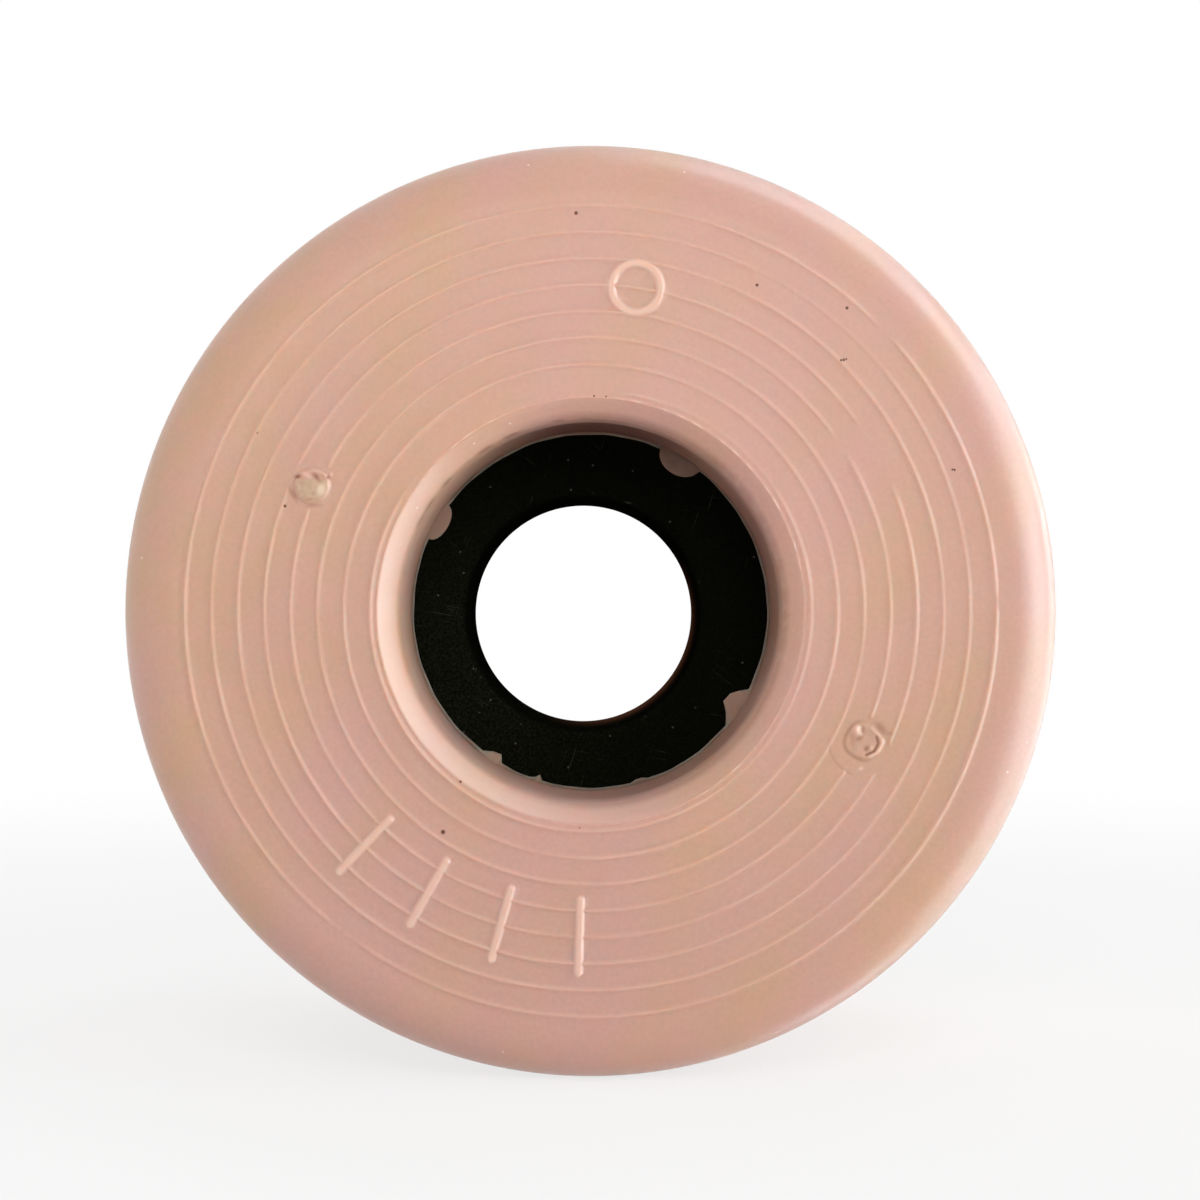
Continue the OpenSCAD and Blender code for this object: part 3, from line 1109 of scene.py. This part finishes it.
def black_plastic():
    """Black moulded plastic with a fine grain, faint scratches and dust, a painted light at the lower left
    of its ends and a painted brown light on the bore's wall.
    """
    material, tree, shader = new_material("black_plastic")
    shader.inputs["Specular IOR Level"].default_value = 0.0
    point = object_point(tree)
    grain = noise(tree, point, size=0.14, detail=2.0, roughness=0.6)
    patches = ramped(tree, noise(tree, point, size=2.5), 0.5, 0.62)
    worn = compute(tree, "MULTIPLY", ramped(tree, grain, 0.3, 0.75), share_of(tree, "worn"))
    colour = blended(tree, worn, CORE_BLACK, CORE_WORN_AND_LIT)
    for lean in SCRATCH_LEANS:
        inputs = {"Vector": point, "Rotation": (0, math.radians(lean), 0), "Scale": (1, 1, SCRATCH_STRETCH)}
        along = add(tree, "ShaderNodeMapping", inputs, vector_type="TEXTURE").outputs[0]
        scratch = ramped(tree, noise(tree, along, size=0.14, detail=2.0), 0.68, 0.76)
        colour = blended(tree, compute(tree, "MULTIPLY", scratch, patches), colour, CORE_SCRATCH)
    dust = dots(tree, point, spacing=0.8, radius=0.09, kept=0.5)
    colour = blended(tree, compute(tree, "MULTIPLY", dust, CORE_DUST_SHARE), colour, DUST)
    feed(tree, shader, {
        "Base Color": blended(tree, share_of(tree, "stain"), colour, BORE_LIGHT_BROWN),
        "Roughness": rescaled(tree, grain, (0.3, 0.7), (0.6, 0.8)),
        "Normal": bumped(tree, grain, strength=0.3, distance=0.02),
    })
    return material


# Stage, light and camera

WHITE = (1, 1, 1, 1)
FLOOR_HALF = 3000
FLOOR_COLOUR = (0.8, 0.8, 0.8)
# Share of white in the floor near the wheel, and the distances over which it grows to 1
FLOOR_GLOW = 0.75
FLOOR_NEAR = 60
FLOOR_FAR = 220
WORLD_FILL = 0.22
# Lamps: name, distance, turn away from the view axis, angle round it, width, height, power in watts
LAMPS = (
    ("window", 500, 76, 0, 280, 1000, 1.35),
    ("window_front", 500, 58, 3, 260, 260, 0.5),
    ("window_back", 500, 118, 5, 300, 400, 0.4),
    ("mouth_shine", 500, 84, 22, 240, 1800, 3.2),
    ("rim_shine", 500, 118, -16, 280, 1100, 1.7),
    ("ring_shine", 500, 55, 0, 220, 400, 0.3),
    ("front", 150, 25, 85, 80, 80, 0.1),
    ("left_card", 500, 80, 168, 260, 260, 0.6),
    ("top_card", 500, 105, 62, 400, 400, 0.6),
    ("back", 500, 145, 110, 400, 400, 1),
)
# Lamps that no surface mirrors, and lamps that only show as a shine
UNMIRRORED = ("front", "left_card", "back")
SHINE_ONLY = ("mouth_shine", "rim_shine", "ring_shine")
# Cool colour of that shine
SHINE_COLOUR = (0.8, 0.97, 1.0)
CAMERA_DISTANCE = 136
CAMERA_LENS = 63.5
CAMERA_CLIP = 10
SENSOR = 36
PICTURE = 1200
# The wheel's centre lies left of and below the middle of the picture, by these shares of its width
SHIFT_X = 9.5 / PICTURE
SHIFT_Y = 11 / PICTURE


def seen_directly(tree):
    """Socket that is 1 for rays from the camera, and for those that a shiny or clear surface passes on."""
    path = add(tree, "ShaderNodeLightPath").outputs
    either = compute(tree, "MAXIMUM", path["Is Camera Ray"], path["Is Glossy Ray"])
    return compute(tree, "MAXIMUM", either, path["Is Transmission Ray"])


def show_mixed(tree, share, under, over, output):
    """Shows one shader mixed over another by a share."""
    mixed = add(tree, "ShaderNodeMixShader", {0: share, 1: under.outputs[0], 2: over.outputs[0]})
    add(tree, output, {"Surface": mixed.outputs[0]})


def make_world():
    """A white surround for the camera and for reflections, and an even fill light for the rest."""
    world = bpy.data.worlds.new("surround")
    bpy.context.scene.world = world
    tree = empty_tree(world)
    fill = add(tree, "ShaderNodeBackground", {"Color": WHITE, "Strength": WORLD_FILL})
    surround = add(tree, "ShaderNodeBackground", {"Color": WHITE, "Strength": 1.0})
    show_mixed(tree, seen_directly(tree), fill, surround, "ShaderNodeOutputWorld")


def make_floor():
    """A pale floor under the wheel, which keeps a soft shadow but reads as white."""
    material = bpy.data.materials.new("pale_floor")
    tree = empty_tree(material)
    plain = add(tree, "ShaderNodeBsdfDiffuse", {"Color": (*FLOOR_COLOUR, 1)})
    glow = add(tree, "ShaderNodeEmission", {"Color": WHITE, "Strength": 1.0})
    away = add(tree, "ShaderNodeVectorMath", {0: object_point(tree)}, operation="LENGTH").outputs["Value"]
    inputs = {"Value": away, "From Min": FLOOR_NEAR * MM, "From Max": FLOOR_FAR * MM, "To Min": FLOOR_GLOW}
    glowing = add(tree, "ShaderNodeMapRange", inputs, interpolation_type="SMOOTHSTEP").outputs[0]
    share = compute(tree, "MULTIPLY", seen_directly(tree), glowing)
    show_mixed(tree, share, plain, glow, "ShaderNodeOutputMaterial")
    mesh = bpy.data.meshes.new("floor")
    half = FLOOR_HALF * MM
    low = -wheel_r * MM
    corners = ((-half, -half, low), (half, -half, low), (half, half, low), (-half, half, low))
    mesh.from_pydata(corners, [], [(0, 1, 2, 3)])
    mesh.materials.append(material)
    floor = bpy.data.objects.new("floor", mesh)
    bpy.context.scene.collection.objects.link(floor)
    # Lamps that reach below the floor shine through it
    floor.visible_shadow = False


def aim(thing, place):
    """Puts a lamp or camera at a place of the drawing frame, looking at the wheel's centre."""
    x, y, z = place
    thing.location = Vector((x, -z, y)) * MM
    thing.rotation_euler = (-thing.location).to_track_quat("-Z", "Y").to_euler()


def make_lamps():
    """Soft lamps round the wheel, each turned to its centre."""
    for name, distance, turn, angle, width, height, power in LAMPS:
        lamp = bpy.data.lights.new(name, "AREA")
        lamp.shape = "RECTANGLE"
        lamp.size = width * MM
        lamp.size_y = height * MM
        lamp.energy = power
        if name in SHINE_ONLY:
            lamp.color = SHINE_COLOUR
        lamp.cycles.use_multiple_importance_sampling = False
        thing = bpy.data.objects.new(name, lamp)
        thing.visible_glossy = name not in UNMIRRORED
        thing.visible_diffuse = name not in SHINE_ONLY
        bpy.context.scene.collection.objects.link(thing)
        across, up = polar(angle, distance * math.sin(math.radians(turn)))
        aim(thing, (across, up, distance * math.cos(math.radians(turn))))


def make_camera():
    """The photograph's view: close, on the wheel's axis, square to its front face."""
    camera = bpy.data.cameras.new("camera")
    camera.lens = CAMERA_LENS
    camera.sensor_width = SENSOR
    camera.shift_x = SHIFT_X
    camera.shift_y = SHIFT_Y
    camera.clip_start = CAMERA_CLIP * MM
    thing = bpy.data.objects.new("camera", camera)
    bpy.context.scene.collection.objects.link(thing)
    aim(thing, (0, 0, CAMERA_DISTANCE))
    bpy.context.scene.camera = thing


bpy.context.scene.view_settings.view_transform = "Standard"
make_camera()
make_world()
make_floor()
make_lamps()
film = film_urethane()
make_tyre(urethane())
make_film("seat_film_front", 1, FRONT_TABS, FRONT_FLASH, FRONT_THICK, film)
make_film("seat_film_back", -1, BACK_TABS, (), BACK_THICK, film)
make_core(black_plastic())
